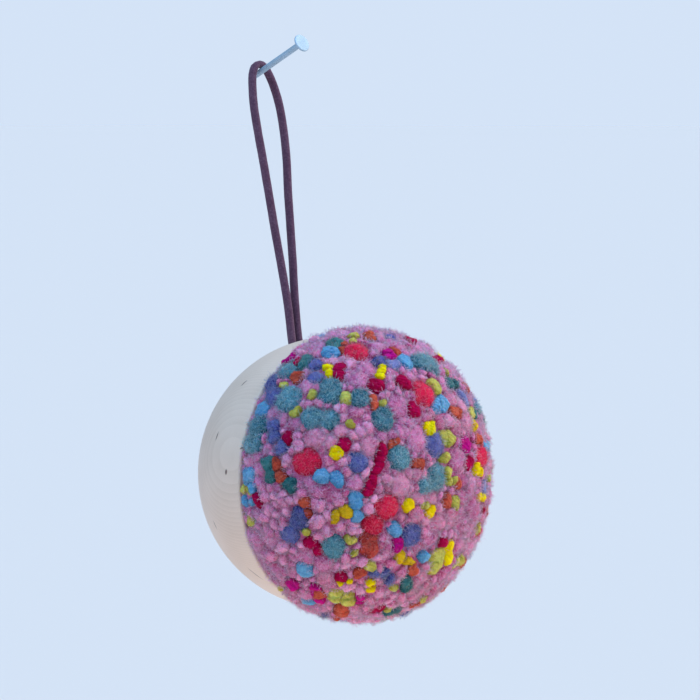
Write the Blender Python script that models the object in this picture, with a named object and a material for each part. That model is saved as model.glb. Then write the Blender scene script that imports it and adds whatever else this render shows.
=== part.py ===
"""A yarn pom pom seated in a turned wooden cup that hangs by a suede loop from a nail.

The origin is where the nail enters the wall. The wall is the plane y = 0, the pom pom faces -Y, and +Z is up.
"""

import math
import random

import bmesh
import bpy
from mathutils import Matrix, Vector

MM = 0.001
GAP = 0.3 * MM                      # clearance between pieces that touch

# ---- driving dimensions ----
CUP_RADIUS = 40.0 * MM              # the cup is a truncated half ball of this radius
CUP_DEPTH = 32.0 * MM               # rim to flat back
CAVITY_RADIUS = 35.0 * MM
CAVITY_DEPTH = 26.0 * MM
EDGE_ROUNDING = 0.8 * MM            # at the rim and at the back
CUP_SEGMENTS = 56                   # round the cup
OUTSIDE_STEPS = 12                  # along the outside of the cup's profile
INSIDE_STEPS = 9
EDGE_STEPS = 3
DROP = 116.5 * MM                   # nail down to the cup's centre line

YARN_RADIUS = 43.0 * MM             # widest radius of the pom pom
YARN_WIDEST = 8.4 * MM              # the widest place, in front of the rim
YARN_DOME = 33.2 * MM               # widest place to the front of the dome
YARN_SQUARENESS = 2.35              # superellipse exponent: 2 is round, more is boxier
YARN_OVERHANG = math.radians(-21)   # profile angle at which the yarn meets the rim
YARN_OVER_RIM = 0.5 * MM            # lowest yarn ends, above the rim

LOCK_COLUMNS = 9                    # locks across the dome's front and along each side
LOCK_ROWS = 5                       # rows of locks between the rim and the front
LOCK_STRAY = 0.20                   # the locks' corners stray from the grid, as a share of their width
LOCK_PARTING = 0.06                 # half the gap between locks, as a share of their width
LOCK_TIP = 0.50                     # the flat end of a rounded tip, as a share of the lock
LOCK_ROUNDING = 2.2 * MM            # height of a tip's rounded edge
LOCK_UNEVEN = 1.0 * MM              # tips stand this much higher or lower
LOCK_SEED = 7

NAIL_TILT = math.radians(26.2)      # the nail slopes up, away from the wall
NAIL_SHANK_RADIUS = 0.9 * MM
NAIL_LENGTH = 21.5 * MM             # wall to the head's outer face
NAIL_HEAD_RADIUS = 2.7 * MM
NAIL_HEAD_THICKNESS = 0.65 * MM
NAIL_NECK_LENGTH = 0.8 * MM
NAIL_NECK_RADIUS = 1.35 * MM        # where the neck meets the head
ROUND_SEGMENTS = 24                 # round the nail and the loop's hole

LACE_WIDTH = 2.7 * MM
LACE_THICKNESS = 2.1 * MM
LACE_REST_ON_NAIL = 2.0 * MM        # the loop sits this far from the wall on the nail
LACE_HOLE_BEHIND_RIM = 15.5 * MM
LACE_HOLE_RADIUS = 2.8 * MM
LACE_SPACING = 5.0 * MM             # distance between points along the lace's straight stretches

# The loop's own line, from the left end in the hole, over the nail, to the right end:
# across (to the right), below the nail's axis and bowed out from the loop's plane, in mm.
LACE_ROUTE_MM = [
    # across, below, out
    (-1.4, 87.0, 0.0),
    (-1.4, 79.0, 0.0),
    (-1.5, 72.0, 0.3),
    (-1.9, 65.0, 0.5),
    (-2.6, 57.0, 0.7),
    (-3.4, 47.0, 0.8),
    (-4.2, 36.0, 1.0),
    (-5.0, 27.0, 1.3),
    (-5.5, 19.0, 1.2),
    (-5.5, 11.0, 0.9),
    (-4.7, 5.0, 0.5),
    (-3.5, 0.8, 0.1),
    (-2.0, -1.6, 0.0),
    (0.0, -2.4, 0.0),
    (2.0, -1.6, 0.0),
    (3.5, 0.8, 0.1),
    (4.7, 5.0, 0.5),
    (5.5, 11.0, 0.9),
    (5.5, 19.0, 1.2),
    (5.0, 27.0, 1.3),
    (4.2, 36.0, 1.0),
    (3.4, 47.0, 0.8),
    (2.6, 57.0, 0.7),
    (1.9, 65.0, 0.5),
    (1.5, 72.0, 0.3),
    (1.4, 79.0, 0.0),
    (1.4, 87.0, 0.0),
]


# ---- helpers ----
def material(name, color, roughness, metallic=0.0):
    """A plain Principled material."""
    made = bpy.data.materials.new(name)
    made.use_nodes = True
    shader = made.node_tree.nodes["Principled BSDF"]
    shader.inputs["Base Color"].default_value = (*color, 1.0)
    shader.inputs["Roughness"].default_value = roughness
    shader.inputs["Metallic"].default_value = metallic
    made.diffuse_color = (*color, 1.0)
    return made


def add_object(name, data, look):
    """Links an object that holds this mesh or curve and gives it its material."""
    made = bpy.data.objects.new(name, data)
    bpy.context.collection.objects.link(made)
    data.materials.append(look)
    return made


def mesh_from(bm, name, sharp_angle=math.radians(35)):
    """Turns a bmesh into a smooth shaded mesh that keeps its hard edges."""
    bmesh.ops.recalc_face_normals(bm, faces=bm.faces)
    mesh = bpy.data.meshes.new(name)
    bm.to_mesh(mesh)
    bm.free()
    mesh.shade_smooth()
    mesh.set_sharp_from_angle(angle=sharp_angle)
    return mesh


def turned(name, profile, segments):
    """Spins a profile of (radius, along) points, which starts and ends on the axis, about +Z."""
    bm = bmesh.new()
    points = [bm.verts.new((radius, 0.0, along)) for radius, along in profile]
    edges = [bm.edges.new(pair) for pair in zip(points, points[1:])]
    bmesh.ops.spin(
        bm,
        geom=points + edges,
        cent=(0.0, 0.0, 0.0),
        axis=(0.0, 0.0, 1.0),
        angle=2 * math.pi,
        steps=segments,
        use_merge=True,
    )
    bmesh.ops.remove_doubles(bm, verts=bm.verts, dist=1e-6)
    return mesh_from(bm, name)


def arc(center, radius, start, end, steps):
    """Points of an arc about (radius, along), angles measured from the radial direction."""
    return [
        (
            center[0] + radius * math.cos(start + (end - start) * i / steps),
            center[1] + radius * math.sin(start + (end - start) * i / steps),
        )
        for i in range(steps + 1)
    ]


# ---- wooden cup ----
def cup_profile():
    """Outer base centre, round the outside, over the rim and down the cavity to its floor.

    The along axis points from the rim to the wall, with the rim at 0.
    """
    center = (0.0, 0.0)
    base_radius = math.sqrt(CUP_RADIUS ** 2 - CUP_DEPTH ** 2) - EDGE_ROUNDING
    outer_end = math.asin((CUP_DEPTH - EDGE_ROUNDING) / CUP_RADIUS)
    outer_start = math.asin(EDGE_ROUNDING / CUP_RADIUS)
    inner_end = math.asin(CAVITY_DEPTH / CAVITY_RADIUS)
    rim_center = (CUP_RADIUS - EDGE_ROUNDING, EDGE_ROUNDING)
    outside = arc(center, CUP_RADIUS, outer_end, outer_start, OUTSIDE_STEPS)
    rim = arc(rim_center, EDGE_ROUNDING, 0.0, -math.pi / 2, EDGE_STEPS)
    inside = arc(center, CAVITY_RADIUS, 0.0, inner_end, INSIDE_STEPS)
    return (
        [(0.0, CUP_DEPTH), (base_radius, CUP_DEPTH)]
        + outside
        + rim[1:]
        + inside
        + [(0.0, CAVITY_DEPTH)]
    )


def rim_frame():
    """Places a turned shape with its rim at the cup's rim and its axis towards the wall."""
    return Matrix.Translation((0.0, -CUP_DEPTH, -DROP)) @ Matrix.Rotation(-math.pi / 2, 4, "X")


def hole_cutter(look):
    """A round bit that drills the loop's hole along the loop's own line, into the cavity."""
    reach = CUP_RADIUS / 2
    profile = [(0.0, -reach), (LACE_HOLE_RADIUS, -reach), (LACE_HOLE_RADIUS, reach), (0.0, reach)]
    cutter = add_object("loop_hole_cutter", turned("loop_hole", profile, ROUND_SEGMENTS), look)
    along_loop = loop_frame().to_4x4() @ Matrix.Rotation(math.pi / 2, 4, "X")
    cutter.matrix_world = Matrix.Translation(hole_mouth()) @ along_loop
    cutter.hide_render = True
    cutter.display_type = "WIRE"
    return cutter


def build_cup():
    """The turned cup, drilled on top for the loop."""
    look = material("pale_wood", (0.72, 0.60, 0.46), 0.55)
    cup = add_object("wood_cup", turned("wood_cup", cup_profile(), CUP_SEGMENTS), look)
    cup.matrix_world = rim_frame()
    drill = cup.modifiers.new("loop_hole", "BOOLEAN")
    drill.operation = "DIFFERENCE"
    drill.solver = "EXACT"
    drill.object = hole_cutter(look)


# ---- nail ----
def nail_direction():
    """Along the nail, from the wall to its head."""
    return Vector((0.0, -math.cos(NAIL_TILT), math.sin(NAIL_TILT)))


def nail_axis_point(from_wall):
    """A point on the nail's axis, this far from the wall."""
    return nail_direction() * (from_wall / math.cos(NAIL_TILT))


def nail_profile():
    """The shank, from behind the wall's surface, its flared neck and the flat head."""
    buried = -4 * NAIL_SHANK_RADIUS
    head_back = NAIL_LENGTH - NAIL_HEAD_THICKNESS
    edge = NAIL_HEAD_THICKNESS / 3
    return [
        (0.0, buried),
        (NAIL_SHANK_RADIUS, buried),
        (NAIL_SHANK_RADIUS, head_back - NAIL_NECK_LENGTH),
        (NAIL_NECK_RADIUS, head_back),
        (NAIL_HEAD_RADIUS - edge, head_back),
        (NAIL_HEAD_RADIUS, head_back + edge),
        (NAIL_HEAD_RADIUS, NAIL_LENGTH - edge),
        (NAIL_HEAD_RADIUS - edge, NAIL_LENGTH),
        (0.0, NAIL_LENGTH),
    ]


def build_nail():
    """The nail, cut off flat in the plane of the wall."""
    look = material("galvanised_steel", (0.62, 0.66, 0.70), 0.35, 1.0)
    mesh = turned("nail", nail_profile(), ROUND_SEGMENTS)
    mesh.transform(nail_direction().to_track_quat("Z", "Y").to_matrix().to_4x4())
    bm = bmesh.new()
    bm.from_mesh(mesh)
    cut = bmesh.ops.bisect_plane(
        bm,
        geom=bm.verts[:] + bm.edges[:] + bm.faces[:],
        plane_co=(0.0, 0.0, 0.0),
        plane_no=(0.0, 1.0, 0.0),
        clear_outer=True,
    )
    rim = [item for item in cut["geom_cut"] if isinstance(item, bmesh.types.BMEdge)]
    bmesh.ops.holes_fill(bm, edges=rim)
    add_object("nail", mesh_from(bm, "nail_cut"), look)


# ---- hanging loop ----
def hole_mouth():
    """Where the hole for the loop breaks the cup's outer surface, on its top."""
    height = math.sqrt(CUP_RADIUS ** 2 - LACE_HOLE_BEHIND_RIM ** 2)
    return Vector((0.0, LACE_HOLE_BEHIND_RIM - CUP_DEPTH, height - DROP))


def loop_frame():
    """Axes of the loop's plane, as columns: across, up the loop, out from the wall."""
    across = Vector((1.0, 0.0, 0.0))
    up = (nail_axis_point(LACE_REST_ON_NAIL) - hole_mouth()).normalized()
    return Matrix((across, up, across.cross(up))).transposed()


def smooth_route(points, spacing):
    """Points along a Catmull-Rom curve through the route, closer together where the route is."""
    ends = [points[0] * 2 - points[1]] + points + [points[-1] * 2 - points[-2]]
    route = [points[0]]
    for before, start, end, after in zip(ends, ends[1:], ends[2:], ends[3:]):
        steps = max(2, round((end - start).length / spacing))
        for step in range(1, steps + 1):
            t = step / steps
            route.append(
                0.5
                * (
                    2 * start
                    + (end - before) * t
                    + (2 * before - 5 * start + 4 * end - after) * t ** 2
                    + (3 * start - before - 3 * end + after) * t ** 3
                )
            )
    return route


def build_loop():
    """A round-edged lace, doubled over the nail, both ends in the cup's hole."""
    look = material("suede_lace", (0.10, 0.045, 0.055), 0.9)
    lace = bpy.data.curves.new("hanging_loop", "CURVE")
    lace.dimensions = "3D"
    lace.bevel_depth = LACE_THICKNESS / 2
    lace.extrude = (LACE_WIDTH - LACE_THICKNESS) / 2
    lace.bevel_resolution = 2
    lace.use_fill_caps = True

    corners = [Vector((across, -below, out)) * MM for across, below, out in LACE_ROUTE_MM]
    route = smooth_route(corners, LACE_SPACING)
    spline = lace.splines.new("POLY")
    spline.points.add(len(route) - 1)
    for point, place in zip(spline.points, route):
        point.co = (*place, 1.0)

    loop = add_object("hanging_loop", lace, look)
    on_nail = Matrix.Translation(nail_axis_point(LACE_REST_ON_NAIL))
    loop.matrix_world = on_nail @ loop_frame().to_4x4()


# ---- pom pom ----
def yarn_profile(angle, depth):
    """Radius and distance in front of the rim, at this profile angle and this depth below the yarn's ends."""
    power = 2 / YARN_SQUARENESS
    radius = (YARN_RADIUS - depth) * math.cos(angle) ** power
    if angle < 0:
        return radius, YARN_WIDEST - (YARN_WIDEST - YARN_OVER_RIM) * angle / YARN_OVERHANG
    return radius, YARN_WIDEST + (YARN_DOME - depth) * math.sin(angle) ** power


def lock_length():
    """The locks' roots meet the cup's cavity at the rim."""
    rim_share = math.cos(YARN_OVERHANG) ** (2 / YARN_SQUARENESS)
    return YARN_RADIUS - (CAVITY_RADIUS - GAP) / rim_share


def dome_point(place, depth):
    """Maps a point of the half box's sides or front to the pom pom's dome."""
    across, along, up = (math.tan(value * math.pi / 4) for value in place)
    outward = math.hypot(across, up)
    share = math.atan2(-along, outward) / (math.pi / 2)
    angle = YARN_OVERHANG + (math.pi / 2 - YARN_OVERHANG) * share
    radius, front = yarn_profile(angle, depth)
    if outward == 0:
        return Vector((0.0, -front, 0.0))
    return Vector((radius * across / outward, -front, radius * up / outward))


def seat_point(place):
    """Maps a point of the half box's back to the cup's cavity, which the backing fills."""
    wall, floor = CAVITY_RADIUS - GAP, CAVITY_DEPTH - GAP
    size = max(abs(place.x), abs(place.z))
    spread = math.hypot(place.x, place.z)
    floor_share = 3 / LOCK_COLUMNS
    steepest = math.asin(floor / wall)
    if size > floor_share:
        angle = steepest * (1 - size) / (1 - floor_share)
        radius, depth = wall * math.cos(angle), wall * math.sin(angle)
    else:
        radius, depth = wall * math.cos(steepest) * size / floor_share, floor
    return Vector((radius * place.x / spread, depth, radius * place.z / spread))


def half_box():
    """A box from the rim (y = 0) to the front (y = -1), cut into a grid with a cell for each lock."""
    bm = bmesh.new()
    bmesh.ops.create_cube(bm, size=2.0)
    halve = Matrix.Translation((0, -0.5, 0)) @ Matrix.Diagonal((1, 0.5, 1, 1))
    bmesh.ops.transform(bm, verts=bm.verts, matrix=halve)
    steps = [-1 + 2 * column / LOCK_COLUMNS for column in range(1, LOCK_COLUMNS)]
    cuts = [(Vector((step, 0, 0)), Vector((1, 0, 0))) for step in steps]
    cuts += [(Vector((0, 0, step)), Vector((0, 0, 1))) for step in steps]
    cuts += [(Vector((0, -row / LOCK_ROWS, 0)), Vector((0, 1, 0))) for row in range(1, LOCK_ROWS)]
    for place, normal in cuts:
        everything = bm.verts[:] + bm.edges[:] + bm.faces[:]
        bmesh.ops.bisect_plane(bm, geom=everything, plane_co=place, plane_no=normal)
    return bm


def build_pom_pom():
    """Locks of yarn, each with four sides and a rounded tip, fused at their roots into a backing."""
    look = material("wool_yarn", (0.48, 0.23, 0.36), 0.95)
    chance = random.Random(LOCK_SEED)
    width = 2 / LOCK_COLUMNS
    bm = half_box()
    depth = bm.verts.layers.float.new("depth")
    on_dome = bm.verts.layers.int.new("on_dome")
    locks = [face for face in bm.faces if face.normal.y < 0.5]
    for vert in {vert for face in locks for vert in face.verts}:
        vert[on_dome] = 1
        vert[depth] = lock_length()
    for vert in sorted(bm.verts, key=lambda vert: vert.index):
        at_rim = vert.co.y > -width / 4
        stray = Vector(chance.uniform(-1, 1) * LOCK_STRAY * width for _ in range(3))
        vert.co += Vector((stray.x, 0.0 if at_rim else stray.y, stray.z)) * vert[on_dome]

    bmesh.ops.inset_individual(bm, faces=locks, thickness=width * LOCK_PARTING, use_even_offset=True)
    for tip in bmesh.ops.extrude_discrete_faces(bm, faces=locks)["faces"]:
        rise = chance.uniform(-LOCK_UNEVEN, LOCK_UNEVEN)
        for vert in tip.verts:
            vert[depth] = LOCK_ROUNDING - rise
        center = tip.calc_center_median()
        end = bmesh.ops.extrude_discrete_faces(bm, faces=[tip])["faces"][0]
        for vert in end.verts:
            vert[depth] = -rise
            vert.co = center.lerp(vert.co, LOCK_TIP)

    for vert in bm.verts:
        vert.co = dome_point(vert.co, vert[depth]) if vert[on_dome] else seat_point(vert.co)

    pom_pom = add_object("pom_pom", mesh_from(bm, "pom_pom"), look)
    pom_pom.matrix_world = Matrix.Translation((0.0, -CUP_DEPTH, -DROP))


def main():
    """Clears the scene and builds the four pieces."""
    for leftover in list(bpy.data.objects):
        bpy.data.objects.remove(leftover)
    build_cup()
    build_pom_pom()
    build_loop()
    build_nail()


main()
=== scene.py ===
# %% [markdown]
# # A yarn pom pom in a wooden cup
# A half ball of trimmed wool yarn sits in a turned wooden cup, which hangs by a suede lace from a nail. The
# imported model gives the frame: every piece goes where it says, in metres, with the nail's entry into the
# wall at the origin, the wall in the plane y = 0, the yarn facing -Y and +Z up. Blender's noise starts from
# the clock unless it has a seed, so it gets one, and every run makes the same wool.

# %% Load the frame
import random
from collections import namedtuple
from math import acos, asin, atan2, ceil, cos, hypot, pi, radians, sin, sqrt

import bpy
import numpy as np
from mathutils import Matrix, Vector, noise
from mathutils.bvhtree import BVHTree


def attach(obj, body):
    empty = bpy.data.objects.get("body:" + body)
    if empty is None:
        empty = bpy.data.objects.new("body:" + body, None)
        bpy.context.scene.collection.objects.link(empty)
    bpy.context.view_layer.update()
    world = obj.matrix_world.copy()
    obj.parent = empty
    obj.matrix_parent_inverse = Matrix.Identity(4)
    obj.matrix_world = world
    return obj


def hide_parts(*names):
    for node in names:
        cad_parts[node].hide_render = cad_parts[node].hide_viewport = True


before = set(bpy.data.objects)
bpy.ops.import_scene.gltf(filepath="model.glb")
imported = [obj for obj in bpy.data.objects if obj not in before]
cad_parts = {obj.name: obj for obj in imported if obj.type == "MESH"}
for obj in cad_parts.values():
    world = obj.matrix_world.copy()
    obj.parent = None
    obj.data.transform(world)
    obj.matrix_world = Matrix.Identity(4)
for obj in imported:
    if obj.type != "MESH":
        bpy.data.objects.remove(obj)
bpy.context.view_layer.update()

MM = 0.001
SEED = 20
noise.seed_set(SEED)

# %% [markdown]
# ## The camera
# The camera comes first, because everything is judged through it. A long lens looks from the lower right of
# the wall, turned 47 degrees to the left and a little down. A camera looks along its own -Z axis, so its
# matrix is built from three directions: right, up and back.

# %% Set up the camera
CUP_DEPTH = 32.0 * MM  # rim to flat back
DROP = 116.5 * MM  # nail down to the cup's centre line
RIM = Vector((0.0, -CUP_DEPTH, -DROP))  # its centre
IMAGE_SIDE = 700  # pixels
LENS_MM, SENSOR_MM = 184.1, 36.0
VIEW_TURN = radians(47.39)  # to the left of straight at the wall
VIEW_DOWN = radians(3.71)
VIEW_DISTANCE = 1.051
VIEW_RIGHT, VIEW_UP = 4.61 * MM, 36.0 * MM  # the camera's line passes this far from the rim's centre
CLIP_END = 200.0
FOCAL_PIXELS = LENS_MM / SENSOR_MM * IMAGE_SIDE
PIXELS_PER_MM = FOCAL_PIXELS / VIEW_DISTANCE * MM


def axes_at(place, *axes):
    """The matrix that turns X, Y and Z to these axes and moves to this place."""
    return Matrix.Translation(place) @ Matrix(axes).transposed().to_4x4()


ahead = Vector((sin(VIEW_TURN) * cos(VIEW_DOWN),
                cos(VIEW_TURN) * cos(VIEW_DOWN),
                -sin(VIEW_DOWN)))
to_right = ahead.cross(Vector((0, 0, 1))).normalized()
to_top = to_right.cross(ahead)
eye = RIM + to_right * VIEW_RIGHT + to_top * VIEW_UP - ahead * VIEW_DISTANCE

bpy.ops.object.camera_add()
camera = bpy.context.object
camera.name = "camera"
camera.data.lens, camera.data.sensor_width, camera.data.clip_end = LENS_MM, SENSOR_MM, CLIP_END
camera.matrix_world = axes_at(eye, to_right, to_top, -ahead)
bpy.context.scene.camera = camera


def sight_line(x, y):
    """The direction from the camera through the picture's point (x, y), counted from the top left."""
    right, up = x - IMAGE_SIDE / 2, IMAGE_SIDE / 2 - y
    return (ahead + to_right * (right / FOCAL_PIXELS) + to_top * (up / FOCAL_PIXELS)).normalized()


print(f"camera: {FOCAL_PIXELS:.0f} pixels focal length, {PIXELS_PER_MM:.2f} pixels a millimetre at the cup")

# %% [markdown]
# ## Helpers for every piece
# An operator acts on all that is selected, so each step selects one piece. A finished piece has its place
# in its mesh and its object at the origin, or a pattern on Object coordinates would slide. Turned pieces
# are spun from a profile, as on a lathe.

# %% Helpers
def select_only(piece):
    """Selects this object alone and makes it the active one."""
    bpy.ops.object.select_all(action="DESELECT")
    piece.select_set(True)
    bpy.context.view_layer.objects.active = piece


def new_object(name, data):
    """Puts a mesh or a curve into the scene as the one selected object."""
    piece = bpy.data.objects.new(name, data)
    bpy.context.collection.objects.link(piece)
    select_only(piece)
    return piece


def settle(piece):
    """Moves the object's place, turn and size into its mesh."""
    select_only(piece)
    bpy.ops.object.transform_apply(location=True, rotation=True, scale=True)


def finish_piece(piece, look, stands_for, smooth_angle):
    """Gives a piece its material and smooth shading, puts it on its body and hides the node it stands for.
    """
    piece.data.materials.append(look)
    select_only(piece)
    bpy.ops.object.shade_smooth_by_angle(angle=radians(smooth_angle))
    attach(piece, "root")
    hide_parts(stands_for)
    triangles = sum(len(face.vertices) - 2 for face in piece.data.polygons)
    print(f"{piece.name}: {len(piece.data.polygons)} faces, {triangles} triangles")


def turn_profile(name, profile, segments, place=None):
    """Spins (radius, along) points, from axis to axis, about +Z, and settles the piece in its place."""
    mesh = bpy.data.meshes.new(name)
    mesh.from_pydata([(radius, 0.0, along) for radius, along in profile],
                     [(i, i + 1) for i in range(len(profile) - 1)], [])
    piece = new_object(name, mesh)
    bpy.ops.object.mode_set(mode="EDIT")
    bpy.ops.mesh.select_all(action="SELECT")
    bpy.ops.mesh.spin(steps=segments, angle=2 * pi, center=(0, 0, 0), axis=(0, 0, 1))
    bpy.ops.mesh.select_all(action="SELECT")
    bpy.ops.mesh.remove_doubles(threshold=1e-6)
    bpy.ops.mesh.normals_make_consistent(inside=False)
    bpy.ops.object.mode_set(mode="OBJECT")
    if place is not None:
        piece.matrix_world = place
        settle(piece)
    return piece


def sorted_faces(mesh):
    """The mesh's faces, each from its lowest vertex, in an order that merging points can't change."""
    faces = [tuple(face.vertices) for face in mesh.polygons]
    starts = [face.index(min(face)) for face in faces]
    return sorted(face[start:] + face[:start] for face, start in zip(faces, starts))


def arc(centre, radius, start, end, steps):
    """Points of an arc about (radius, along), angles measured from the radial direction."""
    angles = [start + (end - start) * i / steps for i in range(steps + 1)]
    return [(centre[0] + radius * cos(angle), centre[1] + radius * sin(angle)) for angle in angles]


# %% [markdown]
# ## Materials from nodes
# Each finish is a small network on Object coordinates: noise or waves give a number, a colour ramp turns it
# into colour, and the same number drives a bump. A value that is the same all over stays on the shader's
# own socket.

# %% Node helpers
def new_look(name, **constants):
    """A material and its node tree, with constants set on the Principled shader's own sockets."""
    look = bpy.data.materials.new(name)
    look.use_nodes = True
    tree = look.node_tree
    shader = tree.nodes["Principled BSDF"]
    for socket, value in constants.items():
        shader.inputs[socket.replace("_", " ")].default_value = value
    return look, tree, shader


def add_node(tree, kind, inputs=(), **settings):
    """A new shader node with settings, its inputs linked or set, as (socket, source or value) pairs."""
    node = tree.nodes.new("ShaderNode" + kind)
    for key, value in settings.items():
        setattr(node, key, value)
    for socket, source in inputs:
        if isinstance(source, bpy.types.NodeSocket):
            tree.links.new(source, node.inputs[socket])
        else:
            node.inputs[socket].default_value = source
    return node


def object_place(tree):
    return add_node(tree, "TexCoord").outputs["Object"]


def grain(tree, place, size, detail=2.0, distortion=0.0):
    """Noise whose blotches are about this size in metres."""
    inputs = [("Vector", place), ("Scale", 1 / size), ("Detail", detail), ("Distortion", distortion)]
    return add_node(tree, "TexNoise", inputs).outputs["Fac"]


def waves(tree, place, pitch, distortion, detail_scale, **settings):
    """Waves this many metres apart. The node's own are 2 pi / 20 of a unit apart at scale 1."""
    inputs = [("Vector", place), ("Scale", 2 * pi / 20 / pitch), ("Distortion", distortion),
              ("Detail", 2.0), ("Detail Scale", detail_scale)]
    return add_node(tree, "TexWave", inputs, **settings).outputs["Fac"]


def ramp(tree, amount, *stops):
    """Colours at (position, (red, green, blue)) stops."""
    node = add_node(tree, "ValToRGB", [("Fac", amount)])
    elements = node.color_ramp.elements
    while len(elements) < len(stops):
        elements.new(0.5)
    for element, (position, colour) in zip(elements, stops):
        element.position = position
        element.color = (*colour, 1.0)
    return node.outputs["Color"]


def figure(tree, operation, *values, clamp=False):
    """One Math node."""
    return add_node(tree, "Math", list(enumerate(values)), operation=operation,
                    use_clamp=clamp).outputs[0]


def weighted(tree, total, *parts):
    """A starting number plus each part's source times its weight."""
    for source, weight in parts:
        total = figure(tree, "MULTIPLY_ADD", source, weight, total)
    return total


def raise_bump(tree, shader, height, strength, distance, below=None):
    """A bump on the shader, on top of another one if that is given."""
    inputs = [("Height", height), ("Strength", strength), ("Distance", distance)]
    if below is not None:
        inputs.append(("Normal", below))
    bump = add_node(tree, "Bump", inputs).outputs["Normal"]
    tree.links.new(bump, shader.inputs["Normal"])
    return bump


# %% [markdown]
# ## The hanging loop
# A round-edged suede lace comes out of a hole on top of the cup, goes over the nail and back into the same
# hole. One side of its route is listed and mirrored. A curve with a bevel gives an even strip, which is
# then made a mesh, so that its cut edges can be roughened.

# %% The loop's route
NAIL_TILT = radians(26.2)  # the nail slopes up, away from the wall
LACE_WIDTH, LACE_THICKNESS = 2.7 * MM, 2.1 * MM
LACE_REST_ON_NAIL = 2.0 * MM  # the loop sits this far from the wall
LACE_HOLE_BEHIND_RIM = 15.5 * MM
LACE_HOLE_RADIUS = 2.8 * MM
LACE_SPACING = 1.6 * MM
CUP_RADIUS = 40.0 * MM
LACE_SIDE_MM = [  # across, below the nail's axis, bowed out from the loop's plane
    (1.4, 87.0, 0.0), (1.4, 79.0, 0.0), (1.5, 72.0, 0.3), (1.9, 65.0, 0.5), (2.6, 57.0, 0.7),
    (3.4, 47.0, 0.8), (4.2, 36.0, 1.0), (5.0, 27.0, 1.3), (5.5, 19.0, 1.2), (5.5, 11.0, 0.9),
    (4.7, 5.0, 0.5), (3.5, 0.8, 0.1), (2.0, -1.6, 0.0)]
LACE_TOP_MM = (0.0, -2.4, 0.0)

nail_direction = Vector((0.0, -cos(NAIL_TILT), sin(NAIL_TILT)))
on_nail = nail_direction * (LACE_REST_ON_NAIL / cos(NAIL_TILT))
hole_mouth = Vector((0.0, LACE_HOLE_BEHIND_RIM - CUP_DEPTH,
                     sqrt(CUP_RADIUS ** 2 - LACE_HOLE_BEHIND_RIM ** 2) - DROP))
loop_across = Vector((1.0, 0.0, 0.0))
loop_up = (on_nail - hole_mouth).normalized()
loop_frame = axes_at(on_nail, loop_across, loop_up, loop_across.cross(loop_up))


def smooth_route(points, spacing):
    """Points along a Catmull-Rom curve through the route."""
    ends = [points[0] * 2 - points[1]] + points + [points[-1] * 2 - points[-2]]
    route = [points[0]]
    for before, start, end, after in zip(ends, ends[1:], ends[2:], ends[3:]):
        steps = max(2, round((end - start).length / spacing))
        for step in range(1, steps + 1):
            t = step / steps
            route.append(0.5 * (2 * start + (end - before) * t
                                + (2 * before - 5 * start + 4 * end - after) * t ** 2
                                + (3 * start - before - 3 * end + after) * t ** 3))
    return route


other_side = [(-across, below, out) for across, below, out in LACE_SIDE_MM]
route_mm = other_side + [LACE_TOP_MM] + LACE_SIDE_MM[::-1]
route = [Vector((across, -below, out)) * MM for across, below, out in route_mm]
own_route = smooth_route(route, LACE_SPACING)

# %% Sweep the lace
SUEDE_NAP, NAP_SIZE = 0.05 * MM, 1.6 * MM  # how far and over what length the cut edges wander
lace_curve = bpy.data.curves.new("lace_line", "CURVE")
lace_curve.dimensions = "3D"
lace_curve.bevel_depth = LACE_THICKNESS / 2
lace_curve.extrude = (LACE_WIDTH - LACE_THICKNESS) / 2
lace_curve.bevel_resolution = 2
lace_curve.use_fill_caps = True
spline = lace_curve.splines.new("POLY")
spline.points.add(len(own_route) - 1)
for point, place in zip(spline.points, own_route):
    point.co = (*place, 1.0)
lace = new_object("lace_loop", lace_curve)
lace.matrix_world = loop_frame
bpy.ops.object.convert(target="MESH")
lace = bpy.context.object
settle(lace)
for vertex in lace.data.vertices:
    vertex.co += noise.noise_vector(vertex.co / NAP_SIZE) * SUEDE_NAP
print("lace mesh:", len(lace.data.vertices), "points")

# %% Suede
suede, tree, shader = new_look("suede_lace", Roughness=0.95, Sheen_Weight=0.35, Sheen_Roughness=0.45,
                               Sheen_Tint=(0.62, 0.55, 0.66, 1.0), Specular_IOR_Level=0.15)
place = object_place(tree)
nap = grain(tree, place, 0.55 * MM, detail=3, distortion=0.6)
wear = grain(tree, place, 5 * MM)
colour = ramp(tree, weighted(tree, 0.0, (wear, 0.35), (nap, 0.7)), (0.28, (0.068, 0.028, 0.054)),
              (0.55, (0.115, 0.054, 0.092)), (0.80, (0.190, 0.108, 0.160)))
tree.links.new(colour, shader.inputs["Base Color"])
raise_bump(tree, shader, nap, strength=0.5, distance=0.12 * MM)
finish_piece(lace, suede, "hanging_loop", smooth_angle=50)
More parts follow.
